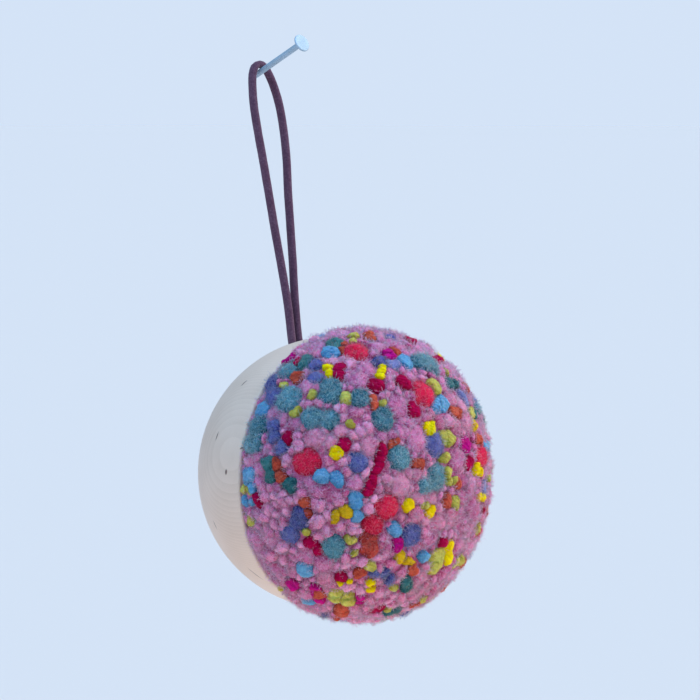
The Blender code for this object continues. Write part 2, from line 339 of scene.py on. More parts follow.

# %% [markdown]
# ## Floor and light
# The floor is a large pale sheet under the hanging object. Open daylight comes from
# everywhere, so a pale blue world gives part of it, at half the brightness that the camera sees. Wide, soft
# suns give the rest: sunlight from the upper right, a low warm one from the right and a cool one from the
# upper left for the sky. A warm panel below stands for the ground's bounce. A sun lights the whole floor
# alike, so the floor's colour can be worked out to match the world's, and no horizon shows.

# %% Floor, world and lights
FLOOR_BELOW, FLOOR_SIDE = 0.30, 200.0
DAYLIGHT = (0.66, 0.77, 0.93)  # the world's colour, as the camera sees it
WORLD_SHARE = 0.5  # of it lights the scene
SUNS = {  # name: towards the sun, strength, width in degrees, colour
    "high_sun": ((0.66, -0.56, 0.85), 1.64, 60, (1.0, 0.975, 1.0)),
    "low_sun": ((0.88, -0.56, 0.05), 1.20, 60, (1.0, 0.85, 0.70)),
    "sky_light": ((-0.42, -0.16, 0.92), 2.15, 70, (0.34, 0.66, 1.0)),
}
FLOOR_TRIM = (0.962, 0.973, 0.979)  # a wide sun lights the floor a little more than its middle does
BOUNCE_PLACE = (0.01, -0.16, 0.01 - FLOOR_BELOW)
BOUNCE_SIZE, BOUNCE_POWER, BOUNCE_COLOUR = 0.45, 0.35, (1.0, 0.69, 0.36)

sunlight = Vector((0, 0, 0))  # what the suns add to a white floor
for name, (towards, strength, width, colour) in SUNS.items():
    bpy.ops.object.light_add(type="SUN", location=towards)
    light = bpy.context.object
    light.name = name
    light.data.energy, light.data.angle, light.data.color = strength, radians(width), colour
    light.rotation_mode = "QUATERNION"
    light.rotation_quaternion = Vector(towards).to_track_quat("Z", "Y")
    sunlight += Vector(colour) * strength * Vector(towards).normalized().z / pi

bpy.ops.object.light_add(type="AREA", location=BOUNCE_PLACE, rotation=(pi, 0, 0))
bounce = bpy.context.object
bounce.name = "ground_bounce"
bounce.data.size, bounce.data.energy, bounce.data.color = BOUNCE_SIZE, BOUNCE_POWER, BOUNCE_COLOUR

world = bpy.data.worlds.new("soft_daylight")
world.use_nodes = True
bpy.context.scene.world = world
tree = world.node_tree
background = tree.nodes["Background"]
background.inputs["Color"].default_value = (*DAYLIGHT, 1.0)
seen = add_node(tree, "LightPath").outputs["Is Camera Ray"]
dimmer = add_node(tree, "MapRange", [("Value", seen), ("To Min", WORLD_SHARE), ("To Max", 1.0)])
tree.links.new(dimmer.outputs["Result"], background.inputs["Strength"])
bpy.context.scene.view_settings.view_transform = "Standard"

bpy.ops.mesh.primitive_plane_add(size=FLOOR_SIDE, location=(0, 0, -FLOOR_BELOW))
floor = bpy.context.object
floor.name = "floor"
merging = [sky / (sky * WORLD_SHARE + sun) * trim for sky, sun, trim in zip(DAYLIGHT, sunlight, FLOOR_TRIM)]
pale_floor = new_look("pale_floor", Roughness=1.0, Specular_IOR_Level=0.0, Base_Color=(*merging, 1.0))[0]
floor.data.materials.append(pale_floor)
print("floor colour:", [round(value, 3) for value in merging])

# %% [markdown]
# ## The nail
# A round nail of galvanised steel slopes up out of the wall, so that the loop can't slide off. Shank,
# flared neck and flat head are one profile, spun, tilted, and sliced off in the wall's plane.

# %% Spin the nail
NAIL_LENGTH = 21.5 * MM
SHANK_RADIUS = 0.9 * MM
HEAD_RADIUS, HEAD_THICKNESS = 2.7 * MM, 0.65 * MM
BACK_ROUNDING, FACE_ROUNDING = 0.2 * MM, 0.25 * MM
NECK_LENGTH, NECK_RADIUS = 0.8 * MM, 1.35 * MM
RIDGE_SHARE, RIDGE_HEIGHT = 0.55, 0.02 * MM  # a faint ring that the hammer leaves on the face
NAIL_SEGMENTS = 28

buried = -4 * SHANK_RADIUS
head_back = NAIL_LENGTH - HEAD_THICKNESS
nail_profile = [(0.0, buried), (SHANK_RADIUS, buried), (SHANK_RADIUS, head_back - NECK_LENGTH),
                (NECK_RADIUS, head_back)]
nail_profile += arc((HEAD_RADIUS - BACK_ROUNDING, head_back + BACK_ROUNDING),
                    BACK_ROUNDING, -pi / 2, 0, steps=3)
nail_profile += arc((HEAD_RADIUS - FACE_ROUNDING, NAIL_LENGTH - FACE_ROUNDING),
                    FACE_ROUNDING, 0, pi / 2, steps=4)
nail_profile += [(HEAD_RADIUS * RIDGE_SHARE, NAIL_LENGTH + RIDGE_HEIGHT), (0.0, NAIL_LENGTH)]
nail = turn_profile("nail_in_wall", nail_profile, NAIL_SEGMENTS)
nail.rotation_mode = "QUATERNION"
nail.rotation_quaternion = nail_direction.to_track_quat("Z", "Y")
settle(nail)
bpy.ops.object.mode_set(mode="EDIT")
bpy.ops.mesh.select_all(action="SELECT")
bpy.ops.mesh.bisect(plane_co=(0, 0, 0), plane_no=(0, 1, 0), use_fill=True, clear_outer=True)
bpy.ops.object.mode_set(mode="OBJECT")

# %% Galvanised steel
steel, tree, shader = new_look("galvanised_steel", Metallic=0.35, Roughness=0.55, Specular_IOR_Level=0.3)
place = object_place(tree)
zinc = grain(tree, place, 3.0 * MM, detail=1)
colour = ramp(tree, zinc, (0.30, (0.36, 0.49, 0.60)), (0.70, (0.41, 0.55, 0.69)))
tree.links.new(colour, shader.inputs["Base Color"])
raise_bump(tree, shader, grain(tree, place, 0.5 * MM, detail=1), strength=0.03, distance=0.03 * MM)
finish_piece(nail, steel, "nail", smooth_angle=35)

# %% [markdown]
# ## The wooden cup
# The cup is a ball of pale wood, cut flat in front and behind and hollowed from the front. A lathe makes
# it, so its profile is spun. A boolean drills the lace's hole along the loop's own line, with a crisp edge.

# %% Turn the cup
CAVITY_RADIUS, CAVITY_DEPTH = 35.0 * MM, 26.0 * MM
EDGE_ROUNDING = 0.8 * MM
CUP_SEGMENTS, DRILL_SEGMENTS = 128, 32
DRILL_REACH = 20 * MM
cup_frame = Matrix.Translation(RIM) @ Matrix.Rotation(-pi / 2, 4, "X")

base_radius = sqrt(CUP_RADIUS ** 2 - CUP_DEPTH ** 2) - EDGE_ROUNDING
outer_end = asin((CUP_DEPTH - EDGE_ROUNDING) / CUP_RADIUS)
outer_start = asin(EDGE_ROUNDING / CUP_RADIUS)
cup_profile = [(0.0, CUP_DEPTH), (base_radius, CUP_DEPTH)]
cup_profile += arc((0, 0), CUP_RADIUS, outer_end, outer_start, steps=26)
cup_profile += arc((CUP_RADIUS - EDGE_ROUNDING, EDGE_ROUNDING), EDGE_ROUNDING, 0, -pi / 2, steps=5)[1:]
cup_profile += arc((0, 0), CAVITY_RADIUS, 0, asin(CAVITY_DEPTH / CAVITY_RADIUS), steps=12)
cup_profile += [(0.0, CAVITY_DEPTH)]
cup = turn_profile("turned_cup", cup_profile, CUP_SEGMENTS, cup_frame)

drill_frame = (Matrix.Translation(hole_mouth) @ loop_frame.to_3x3().to_4x4()
               @ Matrix.Rotation(pi / 2, 4, "X"))
drill_profile = [(0, -DRILL_REACH), (LACE_HOLE_RADIUS, -DRILL_REACH), (LACE_HOLE_RADIUS, DRILL_REACH),
                 (0, DRILL_REACH)]
drill = turn_profile("drill", drill_profile, DRILL_SEGMENTS, drill_frame)
boolean = cup.modifiers.new("loop_hole", "BOOLEAN")
boolean.operation, boolean.solver, boolean.object = "DIFFERENCE", "EXACT", drill
select_only(cup)
bpy.ops.object.modifier_apply(modifier=boolean.name)
bpy.data.objects.remove(drill)
print("cup mesh:", len(cup.data.vertices), "points")

# %% Pale wood
RING_PITCH = 0.65 * MM
PITH_DISTANCE = 0.13  # the growth rings' centre is this far inside the board
LAYER_NORMAL = Vector((-0.97, 0.10, 0.20))  # the rings show as ovals round this side of the cup
FLECKS = {  # seen from this place: x, y, length and width mm, lean degrees
    "grey_nick": (217, 436, 2.6, 0.55, 25), "round_knot": (226, 472, 1.6, 0.95, 10),
    "streak": (215, 525, 2.8, 0.40, -35), "slant": (244, 383, 2.4, 0.55, 60),
    "brown_chip": (249, 423, 2.0, 0.95, 75), "brown_spot": (257, 415, 1.3, 0.9, 60),
    "split": (255, 574, 5.5, 0.42, -58), "thin_nick": (241, 448, 1.1, 0.4, 60)}
FLECK_COLOUR, FLECK_DEPTH = (0.15, 0.080, 0.065, 1.0), 2 * MM
FLECK_REACH, FLECK_EDGE = 1.25, 1.6  # in its own half lengths, and how sharply it ends

wood, tree, shader = new_look("pale_wood", Roughness=0.45, Specular_IOR_Level=0.55)
place = object_place(tree)
layer_turn = LAYER_NORMAL.normalized().to_track_quat("Z", "Y").inverted()
pith = layer_turn @ RIM - Vector((0, 0, PITH_DISTANCE))
inputs = [("Vector", place), ("Location", tuple(-pith)), ("Rotation", tuple(layer_turn.to_euler()))]
from_pith = add_node(tree, "Mapping", inputs).outputs[0]
rings = waves(tree, from_pith, RING_PITCH, distortion=2.2, detail_scale=0.02, wave_type="RINGS",
              rings_direction="Y", wave_profile="SAW")
pores = grain(tree, place, 0.28 * MM, detail=3)
cloud = grain(tree, place, 14 * MM, detail=3)
colour = ramp(tree, weighted(tree, 0.0, (pores, 0.30), (cloud, 0.50), (rings, 0.15)),
              (0.12, (0.83, 0.655, 0.55)), (0.46, (0.745, 0.575, 0.475)), (0.80, (0.61, 0.45, 0.355)))

for x, y, length, width, lean in FLECKS.values():
    direction, offset = sight_line(x, y), eye - RIM
    half = offset.dot(direction)
    spot = eye + direction * (-half - sqrt(half ** 2 - offset.length_squared + CUP_RADIUS ** 2))
    normal = (spot - RIM).normalized()
    along = to_top * cos(radians(lean)) + to_right * sin(radians(lean))
    along = (along - normal * along.dot(normal)).normalized()
    turn = axes_at(spot, along, normal.cross(along), normal).to_euler()
    inputs = [("Vector", place), ("Location", tuple(spot)), ("Rotation", tuple(turn)),
              ("Scale", (length / 2 * MM, width / 2 * MM, FLECK_DEPTH))]
    inside = add_node(tree, "Mapping", inputs, vector_type="TEXTURE").outputs[0]
    away = add_node(tree, "VectorMath", [(0, inside)], operation="LENGTH").outputs["Value"]
    mark = figure(tree, "SUBTRACT", FLECK_REACH, away, clamp=True)
    mark = figure(tree, "MULTIPLY", mark, FLECK_EDGE, clamp=True)
    colour = add_node(tree, "Mix", [(0, mark), (6, colour), (7, FLECK_COLOUR)],
                      data_type="RGBA").outputs[2]
tree.links.new(colour, shader.inputs["Base Color"])
raise_bump(tree, shader, pores, strength=0.2, distance=0.05 * MM)
finish_piece(cup, wood, "wood_cup", smooth_angle=30)

# %% [markdown]
# ## The yarn's outer shape
# Trimmed yarn ends make a soft dome that bulges over the cup's rim. Its profile is a squarish ellipse, and
# its left side is pressed a little flatter, as if it had lain on it. Core, ends and fuzz all follow it.

# %% The dome
YARN_RADIUS, YARN_WIDEST, YARN_DOME = 43.0 * MM, 8.4 * MM, 33.2 * MM
YARN_SQUARENESS = 2.35
YARN_OVERHANG = radians(-21)  # profile angle at which the yarn meets the rim
YARN_OVER_RIM = 0.5 * MM
PRESSED_SIDE, PRESSED_IN = radians(192), 0.9 * MM  # the side towards which the wool is flatter
DOME_RINGS, DOME_SEGMENTS = 60, 180
DOME_OPEN, CORE_OPEN = 0.01, 0.02  # the last ring stops this far short of the axis, in radians


def yarn_profile(angle, depth=0.0):
    """Radius and distance in front of the rim, at this profile angle and depth below the yarn's ends."""
    power = 2 / YARN_SQUARENESS
    radius = (YARN_RADIUS - depth) * cos(angle) ** power
    if angle < 0:
        return radius, YARN_WIDEST - (YARN_WIDEST - YARN_OVER_RIM) * angle / YARN_OVERHANG
    return radius, YARN_WIDEST + (YARN_DOME - depth) * sin(angle) ** power


def press_at(around, angle):
    """How much nearer to the axis the wool is on its flatter side."""
    return PRESSED_IN * max(0.0, cos(around - PRESSED_SIDE)) * cos(angle) ** 2


dome_points, dome_faces = [], []
for ring in range(DOME_RINGS + 1):
    angle = YARN_OVERHANG + (pi / 2 - DOME_OPEN - YARN_OVERHANG) * ring / DOME_RINGS
    radius, front = yarn_profile(angle)
    for step in range(DOME_SEGMENTS):
        around = 2 * pi * step / DOME_SEGMENTS
        out = radius - press_at(around, angle)
        dome_points.append(RIM + Vector((out * cos(around), -front, out * sin(around))))
        if ring:
            a = (ring - 1) * DOME_SEGMENTS + step
            b = (ring - 1) * DOME_SEGMENTS + (step + 1) % DOME_SEGMENTS
            dome_faces.append((a, b, b + DOME_SEGMENTS, a + DOME_SEGMENTS))
dome = BVHTree.FromPolygons(dome_points, dome_faces)
dome_centre = RIM + Vector((0, -2 * MM, 0))  # the yarn fans out from here


def outward_at(point):
    """The dome's surface point nearest to this one, and the outward normal there."""
    found, normal, _, _ = dome.find_nearest(point)
    return found, -normal if normal.dot(found - dome_centre) < 0 else normal


def seen_point(x, y):
    """Where the camera sees the dome at the picture's point (x, y), or its nearest place past the edge."""
    direction = sight_line(x, y)
    found = dome.ray_cast(eye, direction)[0]
    return outward_at(found or eye + direction * ((RIM - eye).dot(direction)))


def in_view(point, normal, least=0.10):
    """True where the camera sees this place of the dome."""
    return (eye - point).normalized().dot(normal) > least


print("dome:", len(dome_faces), "faces, front at", round((YARN_WIDEST + YARN_DOME) / MM, 1), "mm")

# %% [markdown]
# ## The tufts
# Many yarns are wound together: a thick mauve roving, thin pink yarn, a middling rose one, and short flecks
# of strong colours, some of them plied from strands. Each colour's tufts are listed by their place in the
# picture and their width (and height) in pixels, and are then seated on the dome.

# %% Places of the coloured tufts
TUFTS = {  # yarn: (x, y, width[, height]) in the picture's pixels
    "magenta": [(290, 357, 10), (390, 353, 10), (468, 445, 9, 18), (398, 545, 9, 14), (293, 585, 14, 8),
        (314, 592, 9, 12), (318, 601, 12, 6), (360, 601, 9, 12)],
    "crimson": [(296, 361, 8), (338, 369, 12, 16), (377, 384, 14), (404, 382, 12), (416, 410, 10, 15),
        (438, 358, 11, 6), (410, 339, 9, 6), (286, 437, 13), (344, 443, 13), (383, 451, 10), (382, 458, 10),
        (380, 465, 10), (377, 472, 9), (374, 479, 9), (371, 486, 10), (369, 493, 9), (255, 500, 10, 13),
        (309, 544, 12), (318, 552, 11), (341, 578, 13, 11), (445, 544, 10), (471, 463, 9, 12),
        (485, 510, 6, 9), (378, 611, 14, 8)],
    "emerald": [(305, 360, 13), (478, 412, 8), (454, 382, 12, 8), (266, 462, 10, 17), (268, 477, 12, 15),
        (289, 485, 13, 15), (407, 585, 9, 14), (394, 612, 15, 9), (335, 342, 17, 11)],
    "teal": [(287, 367, 18, 15), (289, 398, 24, 22), (330, 390, 20, 24), (359, 397, 19, 16),
        (312, 417, 20, 20), (330, 417, 20, 17), (256, 426, 15, 18), (251, 442, 16, 19), (384, 419, 21),
        (425, 361, 20, 12), (433, 367, 9), (401, 458, 21), (438, 478, 17, 30), (426, 487, 12),
        (334, 548, 22, 20), (479, 407, 8)],
    "violet": [(271, 388, 12, 27), (315, 369, 13, 22), (272, 431, 11, 22), (280, 446, 13, 14),
        (381, 360, 14, 10), (437, 446, 18, 22), (358, 461, 16, 20), (298, 520, 15, 23), (290, 536, 14, 18),
        (413, 535, 20, 20), (380, 575, 20, 8), (391, 582, 12, 8), (390, 333, 8), (325, 616, 8, 4)],
    "periwinkle": [(393, 362, 13, 10), (465, 395, 10, 14), (486, 487, 7, 14), (481, 402, 5, 8)],
    "orange": [(297, 376, 11), (343, 345, 10), (370, 334, 12, 8), (397, 351, 10, 8), (375, 402, 9, 14),
        (457, 411, 11), (467, 385, 8), (480, 439, 9, 13), (394, 443, 11, 9), (276, 465, 11, 12),
        (280, 476, 10, 14), (305, 503, 11, 11), (308, 514, 9), (420, 463, 12, 10), (448, 501, 11, 13),
        (460, 485, 7, 11), (360, 574, 12, 10), (319, 596, 13, 9), (342, 612, 14, 10), (413, 570, 8, 13),
        (480, 533, 4, 9), (464, 565, 8, 7), (413, 606, 8, 6), (336, 618, 8, 5)],
    "russet": [(370, 545, 17, 28)],
    "lime": [(283, 385, 6), (294, 411, 10), (311, 394, 8), (353, 337, 9), (348, 396, 12, 14),
        (350, 424, 8, 10), (384, 402, 8), (436, 385, 12), (448, 438, 16, 15), (473, 412, 8, 9),
        (446, 371, 5), (445, 457, 11, 10), (449, 472, 8, 12), (454, 480, 8), (457, 503, 8, 12),
        (351, 541, 12, 8), (357, 554, 8), (336, 599, 16, 14), (348, 601, 15, 13), (439, 563, 14, 26),
        (244, 490, 8, 8), (370, 567, 10), (396, 590, 8, 6), (307, 533, 7, 9), (426, 506, 10, 7),
        (480, 529, 6, 9), (492, 478, 6), (427, 600, 12, 5), (388, 611, 6), (279, 589, 8, 4),
        (459, 563, 9, 9), (249, 522, 6, 9)],
    "yellow": [(328, 370, 9, 13), (382, 370, 8, 16), (432, 426, 12), (336, 453, 12, 13), (409, 507, 11, 13),
        (432, 513, 9, 10), (372, 587, 8, 14), (340, 584, 8, 5), (348, 581, 8, 5), (363, 622, 24, 6),
        (450, 553, 8, 21), (480, 470, 9, 12), (483, 497, 8, 10), (440, 352, 8), (357, 324, 12, 4)],
    "mustard": [(336, 517, 9, 12), (346, 512, 12, 16), (402, 557, 9, 13), (410, 562, 10, 7),
        (476, 425, 7, 12)],
    "sky": [(260, 408, 12, 14), (330, 351, 14, 10), (407, 360, 15, 12), (442, 404, 18, 16),
        (488, 447, 7, 11), (246, 476, 12, 17), (249, 488, 9, 9), (247, 503, 11, 9), (322, 476, 14, 16),
        (337, 479, 13, 15), (355, 501, 13, 20), (358, 517, 12, 14), (396, 530, 14, 12), (304, 571, 18, 12),
        (426, 558, 11, 10), (307, 603, 11, 7), (370, 327, 10, 6)],
    "coral": [(356, 348, 25, 18), (425, 391, 20, 24), (306, 461, 26, 26), (389, 508, 23, 27),
        (374, 528, 20, 22), (482, 456, 11, 22)],
}
PATCHES = {  # where thin pink ends crowd, and a rosier yarn: left, top, right, bottom
    "pink": [(342, 400, 373, 430), (322, 446, 357, 473), (262, 488, 300, 528), (311, 500, 366, 545),
        (363, 463, 381, 515), (344, 556, 408, 612), (300, 396, 322, 410), (312, 350, 350, 368),
        (283, 442, 300, 466), (270, 546, 284, 566)],
    "rose": [(380, 464, 440, 524), (300, 425, 345, 450), (350, 426, 380, 450), (318, 580, 345, 604),
        (420, 395, 470, 432), (396, 505, 455, 524), (408, 560, 430, 600)],
}
print("tufts listed:", sum(len(places) for places in TUFTS.values()))

# %% [markdown]
# ## Seating the yarn ends
# A seat is the place of one trimmed end. The listed tufts come first. The rest of the dome is filled by
# throwing darts: a random spot is kept when it is far enough from every seat so far, large ends before
# small ones, so the ends pack as tightly as cut yarn does. The far side gets the same mix at random.

# %% Seats
TUFT_SWELLS = 1.10  # its neighbours squeeze it to its listed size again
MOST_SLANT = 0.45  # tufts that are seen more edge-on than this count as if seen at it
ONE_END_UP_TO = 0.35  # a tuft this much longer than wide is still one end
TUFT_RISE = (-0.1, 0.5)  # mm
ROVING_RADIUS, LOBE_RADIUS = 2.5 * MM, 1.6 * MM  # the thinnest of each kind
chance = random.Random(SEED)
Seat = namedtuple("Seat", "point normal radius yarn kind cluster rise")  # kind is thin, lobe or roving
seats = []
seat_spots = np.empty((0, 4))  # the same seats' places and radii, for quick distances


def lengths(rows):
    return np.linalg.norm(rows, axis=1)


def add_seat(*values):
    """Keeps one yarn end."""
    global seat_spots
    seats.append(Seat(*values))
    seat_spots = np.vstack([seat_spots, [*seats[-1].point, seats[-1].radius]])


def room_at(point, share=0.9):
    """Distance from a point to the nearest edge of a seat, whose radius counts by this share."""
    return float((lengths(seat_spots[:, :3] - np.array(point)) - seat_spots[:, 3] * share).min())


def kind_for(radius):
    return "roving" if radius > ROVING_RADIUS else "lobe" if radius > LOBE_RADIUS else "thin"


def seat_tuft(yarn, x, y, wide, tall=None):
    """Seats a listed tuft as one round end, or as a row of them where it is long on the dome itself."""
    tall = tall or wide
    normal = seen_point(x, y)[1]
    depth = max(MOST_SLANT, abs(ahead.dot(normal)))
    real_wide = wide * hypot(1, to_right.dot(normal) / depth)
    real_tall = tall * hypot(1, to_top.dot(normal) / depth)
    long_side, short_side = max(real_wide, real_tall), min(real_wide, real_tall)
    count = max(1, ceil(long_side / short_side - ONE_END_UP_TO))
    cluster = ("tuft", len(seats))
    size = short_side if count > 1 else sqrt(long_side * short_side)
    radius = size / 2 / PIXELS_PER_MM * MM * TUFT_SWELLS
    for index in range(count):
        share = (index - (count - 1) / 2) * (1 - short_side / long_side) / max(1, count - 1)
        dx, dy = (share * wide, 0.0) if real_wide > real_tall else (0.0, share * tall)
        add_seat(*seen_point(x + dx, y + dy), radius, yarn, kind_for(radius), cluster,
                 chance.uniform(*TUFT_RISE) * MM)


for yarn, places in TUFTS.items():
    for place in places:
        seat_tuft(yarn, *place)
print("listed ends:", len(seats))

# %% Fill the dome
HIDDEN_MIX = [  # yarn, tufts on the far side, radius in mm
    ("teal", 10, 2.9), ("coral", 5, 3.6), ("violet", 9, 2.4), ("sky", 11, 2.1), ("crimson", 14, 1.9),
    ("orange", 14, 1.6), ("lime", 14, 1.7), ("yellow", 11, 1.7), ("emerald", 6, 2.0), ("magenta", 6, 1.5),
    ("mustard", 2, 1.8)]
HIDDEN_SIZES, HIDDEN_PAIRS, PAIR_APART, PAIR_SIZE = (0.75, 1.3), 0.4, 1.3, 0.9  # shares, of ends and radii
HIDDEN_DARTS = 30  # thrown for each of those tufts
PAST_EDGE = -0.10  # they start this far round the dome, where the camera sees nothing of them
HIDDEN_TRIES, HIDDEN_PATCHES, HIDDEN_PATCH_MM = 80, 14, (5, 9)
THIN_RADIUS, THIN_RISE, THIN_ROOM = (1.45, 2.35), (-0.3, 0.7), 0.86  # mm, mm and a share of the radius
THIN_TRIES, GROUND_TRIES, GAP_TRIES = 14000, 7000, 16000
OVAL_SHARE = 0.6  # of the thin ends are cut at a slant and show as ovals
OVAL_APART, OVAL_SIZE, OVAL_DROP = (0.8, 1.3), 0.88, 0.15 * MM
GROUND_LAYERS = [  # thickest first: yarn, radii in mm, lowest and highest rise in mm
    ("rose", (3.3, 2.7, 2.1), -0.5, 0.3), ("mauve", (4.0, 3.3, 2.7, 2.1), -0.7, 0.1)]
GROUND_SIZES, GROUND_ROOM = (0.92, 1.08), 0.84
LEAST_GAP, GAP_RISE, GAP_SWELLS, GAP_PINK = 0.8 * MM, (-0.6, 0.3), 1.4, 0.20
draw = np.random.default_rng(SEED)


def edge_cross(a, b, c):
    """A vector along each triangle's normal, twice as long as its area."""
    return np.cross(b - a, c - a)


quads = [np.array(dome_points)[np.array(dome_faces)[:, k]] for k in range(4)]
areas = (lengths(edge_cross(quads[0], quads[1], quads[2])) / 2
         + lengths(edge_cross(quads[0], quads[3], quads[2])) / 2)


def random_spots(count):
    """Random places on the dome, evenly spread over its area, with the outward normal at each."""
    chosen = draw.choice(len(areas), size=count, p=areas / areas.sum())
    across, along = draw.random((2, count, 1))
    a, b, c, d = (quad[chosen] for quad in quads)
    spots = (a * (1 - across) + b * across) * (1 - along) + (d * (1 - across) + c * across) * along
    return [outward_at(Vector(spot)) for spot in spots]


def random_side(axis):
    """A random direction square to this one."""
    side = axis.orthogonal().normalized()
    side.rotate(Matrix.Rotation(chance.uniform(0, 2 * pi), 3, axis))
    return side


hidden_patches = []
for point, normal in random_spots(HIDDEN_TRIES):
    if not in_view(point, normal) and len(hidden_patches) < HIDDEN_PATCHES:
        yarn = "rose" if len(hidden_patches) % 2 else "pink"
        hidden_patches.append((point, chance.uniform(*HIDDEN_PATCH_MM) * MM, yarn))


def ground_yarn(point, normal):
    """The yarn that fills this place between the tufts: pink, rose or mauve."""
    if in_view(point, normal):
        offset = point - eye
        scale = FOCAL_PIXELS / offset.dot(ahead)
        x, y = IMAGE_SIDE / 2 + offset.dot(to_right) * scale, IMAGE_SIDE / 2 - offset.dot(to_top) * scale
        fitting = [yarn for yarn, patches in PATCHES.items() for left, top, right, bottom in patches
                   if left <= x <= right and top <= y <= bottom]
    else:
        fitting = [yarn for centre, reach, yarn in hidden_patches if (point - centre).length < reach]
    return fitting[0] if fitting else "mauve"


for yarn, count, size in HIDDEN_MIX:
    placed = 0
    for point, normal in random_spots(count * HIDDEN_DARTS):
        radius = size * MM * chance.uniform(*HIDDEN_SIZES)
        if placed < count and not in_view(point, normal, PAST_EDGE) and room_at(point, 1.0) > radius:
            same = (yarn, kind_for(radius), ("far", len(seats)))
            add_seat(point, normal, radius, *same, chance.uniform(*TUFT_RISE) * MM)
            if chance.random() < HIDDEN_PAIRS:
                beside = outward_at(point + random_side(normal) * radius * PAIR_APART)
                add_seat(*beside, radius * PAIR_SIZE, *same, chance.uniform(0, TUFT_RISE[1]) * MM)
            placed += 1
print("with the far side's tufts:", len(seats))

for point, normal in random_spots(THIN_TRIES):
    if ground_yarn(point, normal) == "pink":
        radius = chance.uniform(*THIN_RADIUS) * MM
        if room_at(point, THIN_ROOM) > radius * THIN_ROOM:
            same, rise = ("pink", "thin", ("thin", len(seats))), chance.uniform(*THIN_RISE) * MM
            add_seat(point, normal, radius, *same, rise)
            beside = outward_at(point + random_side(normal) * radius * chance.uniform(*OVAL_APART))
            if chance.random() < OVAL_SHARE:
                add_seat(*beside, radius * OVAL_SIZE, *same, rise - OVAL_DROP)
print("with thin pink ends:", len(seats))

for yarn, sizes, lowest, highest in GROUND_LAYERS:
    for size in sizes:
        for point, normal in random_spots(GROUND_TRIES):
            radius = size * MM * chance.uniform(*GROUND_SIZES)
            if room_at(point) > radius * GROUND_ROOM and ground_yarn(point, normal) == yarn:
                add_seat(point, normal, radius, yarn, kind_for(radius), (yarn, 0),
                         chance.uniform(lowest, highest) * MM)
    print("with", yarn + ":", len(seats))

for point, normal in random_spots(GAP_TRIES):  # small ends close the last gaps
    room = room_at(point)
    if room > LEAST_GAP:
        yarn = ground_yarn(point, normal)
        if yarn == "mauve" and chance.random() < GAP_PINK:
            yarn = "pink"
        cluster = ("thin", len(seats)) if yarn == "pink" else (yarn, 0)
        add_seat(point, normal, min(LOBE_RADIUS, room * GAP_SWELLS), yarn, "thin", cluster,
                 chance.uniform(*GAP_RISE) * MM)
print("all ends:", len(seats), "on", round(areas.sum() / MM ** 2), "square mm")

# %% [markdown]
# ## One yarn end, modelled once
# A trimmed end is a short rod with a soft, domed top, flatter on thick yarn than on thin. Its outline is
# spun, as the nail's was. Each kind's points are read once and copied to every seat.

# %% Model the three kinds of end
END_KINDS = {  # sides, rings, the dome's height and the root's length in radii, flatness of the top
    "thin": (9, 4, 0.70, 2.4, 2.4), "lobe": (12, 6, 0.48, 1.7, 3.0), "roving": (18, 8, 0.44, 1.1, 2.6)}
TOP_POWER = 1.7  # how squarely the top turns down into the sides
SIDES = [(0.97, 0.4), (0.8, 1.0)]  # radius, and depth as a share of the root


def end_shape(name, segments, rings, dome_height, root, flatness):
    """A unit rod with a domed top: its widest place is at z = 0 and it goes down to z = -root."""
    outline = [(0.0, dome_height)]
    for ring in range(1, rings + 1):
        out = sin(pi / 2 * ring / rings)
        outline.append((out, dome_height * (1 - out ** flatness) ** (1 / TOP_POWER)))
    outline += [(radius, -depth * root) for radius, depth in SIDES] + [(0.0, -root)]
    shape = turn_profile(name, outline, segments)
    points = np.array([vertex.co[:] for vertex in shape.data.vertices])
    faces = sorted_faces(shape.data)
    print(f"{name}: {len(faces)} faces, z {points[:, 2].min():.2f} to {points[:, 2].max():.2f}")
    bpy.data.objects.remove(shape)
    return points, faces


END_SHAPES = {kind: end_shape(kind + "_end", *numbers) for kind, numbers in END_KINDS.items()}

# %% [markdown]
# ## Pressing the ends together
# Each end is squeezed by its neighbours into a rounded cell. Here a copy's width in each direction is cut
# back to the line midway to every neighbour, so the ends fill the dome. Ends of one yarn run a little into
# each other, because their fibres mat together. Noise makes every copy different, and frays plied yarn more
# than roving.

# %% Shape every end
MATTED = {"mauve", "rose", "teal", "violet", "coral", "crimson", "emerald"}  # ends of these yarns merge
GROUND = {"mauve", "rose"}
PLIED = {"yellow", "lime", "mustard", "crimson", "magenta", "orange", "sky"}
MAT_OVERLAP, GROUND_OVERLAP, THIN_OVERLAP, PRESS_OVERLAP = 0.42, 0.40, 0.12, 0.08  # of the smaller radius
TUFT_KEEPS = 0.97  # of its radius, where a listed tuft meets the ground's yarn
SPREAD = {"thin": 1.12, "lobe": 1.25, "roving": 1.35}  # how far an end may widen into a gap
TUFT_SPREAD = 1.10
UNEVEN = {"thin": (0.24, 0.06), "lobe": (0.12, 0.12), "roving": (0.05, 0.05)}  # how oval, how cornered
LEAN = {"thin": 0.20, "lobe": 0.12, "roving": 0.08}  # how far an end leans
FAN_SHARE = 0.25  # of an end's direction is away from the pom pom's tie, the rest is the dome's normal
NEIGHBOUR_REACH, NEIGHBOUR_LEAST = 1.5, 0.2  # of both radii, and of its own
LEAST_HALF, LEAST_FACING = 0.35, 0.12  # an end keeps this much of its radius; walls beside it don't count
SOFTNESS = 13  # how sharply the cell's limits combine
COARSE_LUMP, FINE_LUMP = 2.6 * MM, 0.9 * MM
LUMP_HEIGHT, FRAY_PLIED, FRAY_SOFT = 0.65 * MM, 0.36 * MM, 0.22 * MM
FULL_LUMPS_RADIUS = 2.0 * MM  # thinner ends get lower lumps
RIM_CLEARANCE, RIM_MARGIN = 0.12 * MM, 0.5 * MM  # in front of the cup's rim and beside it
PAST_RIM = 0.8 * MM  # ends outside the rim may reach this far behind it


